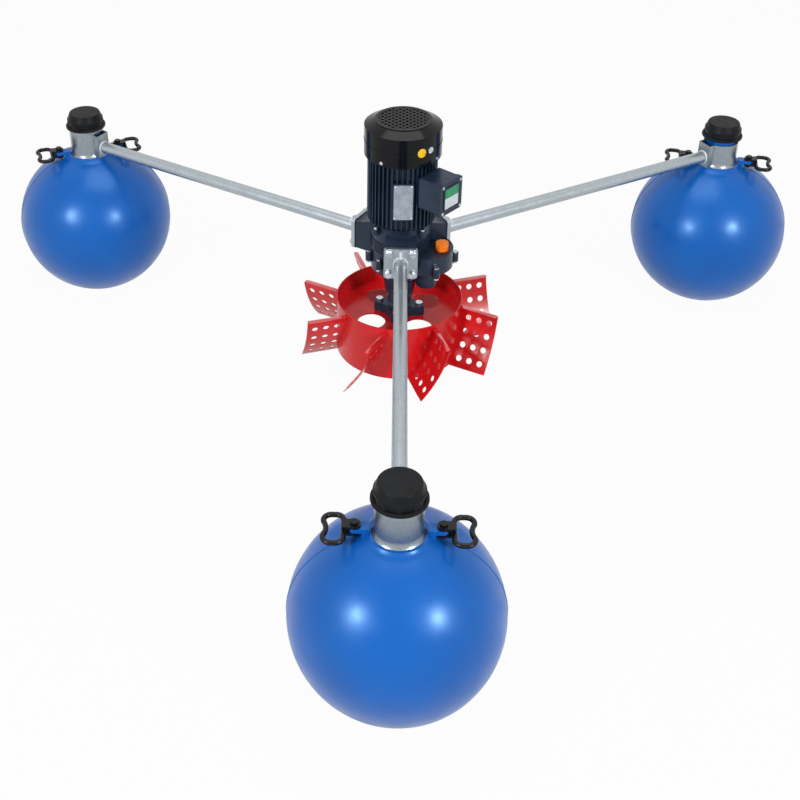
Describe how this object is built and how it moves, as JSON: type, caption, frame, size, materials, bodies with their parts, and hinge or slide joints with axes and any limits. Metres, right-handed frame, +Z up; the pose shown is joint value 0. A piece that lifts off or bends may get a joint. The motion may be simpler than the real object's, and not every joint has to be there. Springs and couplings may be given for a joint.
{
  "type": "floating impeller aerator",
  "caption": "Floating pond aerator: a vertical gear motor on pipe arms with ball floats turns a drum with curved, perforated blades at the water line.",
  "frame": {"origin": "on the ground plane under the middle of the outline", "axes": "+Z up along the impeller axis; the front arm points to -Y; +X runs along the widest extent, across the two rear floats"},
  "size_m": [2.317, 2.067, 0.8159],
  "materials": {
    "float_blue": "blow-moulded polyethylene, blue, slight gloss",
    "cap_black": "moulded plastic, charcoal",
    "handle_black": "moulded plastic, black",
    "galvanised": "galvanised steel",
    "zinc": "zinc-plated steel",
    "name_metal": "bare aluminium",
    "motor_paint": "die-cast aluminium, black-blue enamel",
    "cover_paint": "pressed steel sheet, black enamel",
    "case_paint": "cast iron, black-blue enamel",
    "impeller_red": "steel sheet, red powder coat",
    "gear_steel": "machined steel",
    "seal_rubber": "black rubber",
    "core_steel": "stacked electrical steel",
    "fan_plastic": "moulded plastic, dark grey",
    "oil_orange": "moulded plastic, orange"
  },
  "bodies": {
    "frame": {"float_front": "float_blue", "float_left": "float_blue", "float_right": "float_blue", "handle_bolts": "handle_black", "cable_gland": "handle_black", "arm_front": "galvanised", "arm_left": "galvanised", "arm_right": "galvanised", "float_collar_front": "galvanised", "float_collar_left": "galvanised", "float_collar_right": "galvanised", "arm_bolts": "zinc", "gear_case_bolts": "zinc", "cover_screws": "zinc", "oil_drain_plug": "zinc", "name_plate": "name_metal", "motor_frame": "motor_paint", "upper_end_shield": "motor_paint", "lower_end_shield": "motor_paint", "terminal_box": "motor_paint", "terminal_box_lid": "motor_paint", "fan_cover": "cover_paint", "gear_case": "case_paint", "gear_case_cover": "case_paint", "motor_bearings": "gear_steel", "countershaft_bearings": "gear_steel", "output_bearings": "gear_steel", "shaft_seals": "seal_rubber", "stator_core": "core_steel"},
    "impeller": {"output_shaft": "gear_steel", "output_gear": "gear_steel", "impeller_hub": "case_paint", "hub_bolts": "zinc", "drum_wall": "impeller_red", "drum_floor": "impeller_red", "blade_1": "impeller_red", "blade_2": "impeller_red", "blade_3": "impeller_red", "blade_4": "impeller_red", "blade_5": "impeller_red", "blade_6": "impeller_red", "blade_7": "impeller_red", "blade_8": "impeller_red"},
    "countershaft_body": {"countershaft": "gear_steel", "counter_gear": "gear_steel"},
    "rotor": {"motor_shaft": "gear_steel", "rotor_core": "core_steel", "cooling_fan": "fan_plastic"},
    "oil_cap": {"oil_filler_cap": "oil_orange"},
    "cap_front": {"float_cap_front": "cap_black"},
    "cap_left": {"float_cap_left": "cap_black"},
    "cap_right": {"float_cap_right": "cap_black"},
    "grip_front_a": {"handle_front_a": "handle_black"},
    "grip_front_b": {"handle_front_b": "handle_black"},
    "grip_left_a": {"handle_left_a": "handle_black"},
    "grip_left_b": {"handle_left_b": "handle_black"},
    "grip_right_a": {"handle_right_a": "handle_black"},
    "grip_right_b": {"handle_right_b": "handle_black"}
  },
  "joints": [
    {"name": "impeller_spin", "type": "hinge", "parent": "frame", "child": "impeller", "pos_m": [0, 0.2695, 0.46892], "axis": [0, 0, 1], "continuous": true},
    {"name": "countershaft_spin", "type": "hinge", "parent": "frame", "child": "countershaft_body", "pos_m": [0.06904, 0.2402, 0.46892], "axis": [0, 0, 1], "continuous": true},
    {"name": "rotor_spin", "type": "hinge", "parent": "frame", "child": "rotor", "pos_m": [0, 0.2695, 0.46892], "axis": [0, 0, 1], "continuous": true},
    {"name": "oil_cap_turn", "type": "hinge", "parent": "frame", "child": "oil_cap", "pos_m": [0.10678, 0.22418, 0.46592], "axis": [0, 0, 1], "range_deg": [0, 720]},
    {"name": "cap_front_turn", "type": "hinge", "parent": "frame", "child": "cap_front", "pos_m": [0, -0.8085, 0.56442], "axis": [0, 0, 1], "range_deg": [0, 540]},
    {"name": "cap_left_turn", "type": "hinge", "parent": "frame", "child": "cap_left", "pos_m": [-0.93358, 0.8085, 0.56442], "axis": [0, 0, 1], "range_deg": [0, 540]},
    {"name": "cap_right_turn", "type": "hinge", "parent": "frame", "child": "cap_right", "pos_m": [0.93358, 0.8085, 0.56442], "axis": [0, 0, 1], "range_deg": [0, 540]},
    {"name": "handle_front_a_swing", "type": "hinge", "parent": "frame", "child": "grip_front_a", "pos_m": [0.087, -0.8085, 0.44792], "axis": [0, 0, 1], "range_deg": [-40, 40]},
    {"name": "handle_front_b_swing", "type": "hinge", "parent": "frame", "child": "grip_front_b", "pos_m": [-0.087, -0.8085, 0.44792], "axis": [0, 0, 1], "range_deg": [-40, 40]},
    {"name": "handle_left_a_swing", "type": "hinge", "parent": "frame", "child": "grip_left_a", "pos_m": [-0.85132, 0.83682, 0.44792], "axis": [0, 0, 1], "range_deg": [-40, 40]},
    {"name": "handle_left_b_swing", "type": "hinge", "parent": "frame", "child": "grip_left_b", "pos_m": [-1.01584, 0.78018, 0.44792], "axis": [0, 0, 1], "range_deg": [-40, 40]},
    {"name": "handle_right_a_swing", "type": "hinge", "parent": "frame", "child": "grip_right_a", "pos_m": [1.0195, 0.79489, 0.44792], "axis": [0, 0, 1], "range_deg": [-40, 40]},
    {"name": "handle_right_b_swing", "type": "hinge", "parent": "frame", "child": "grip_right_b", "pos_m": [0.84765, 0.82211, 0.44792], "axis": [0, 0, 1], "range_deg": [-40, 40]}
  ],
  "couplings": [
    {"joint": "countershaft_spin", "follows": "impeller_spin", "ratio": -3.2857},
    {"joint": "rotor_spin", "follows": "impeller_spin", "ratio": 11.879}
  ]
}
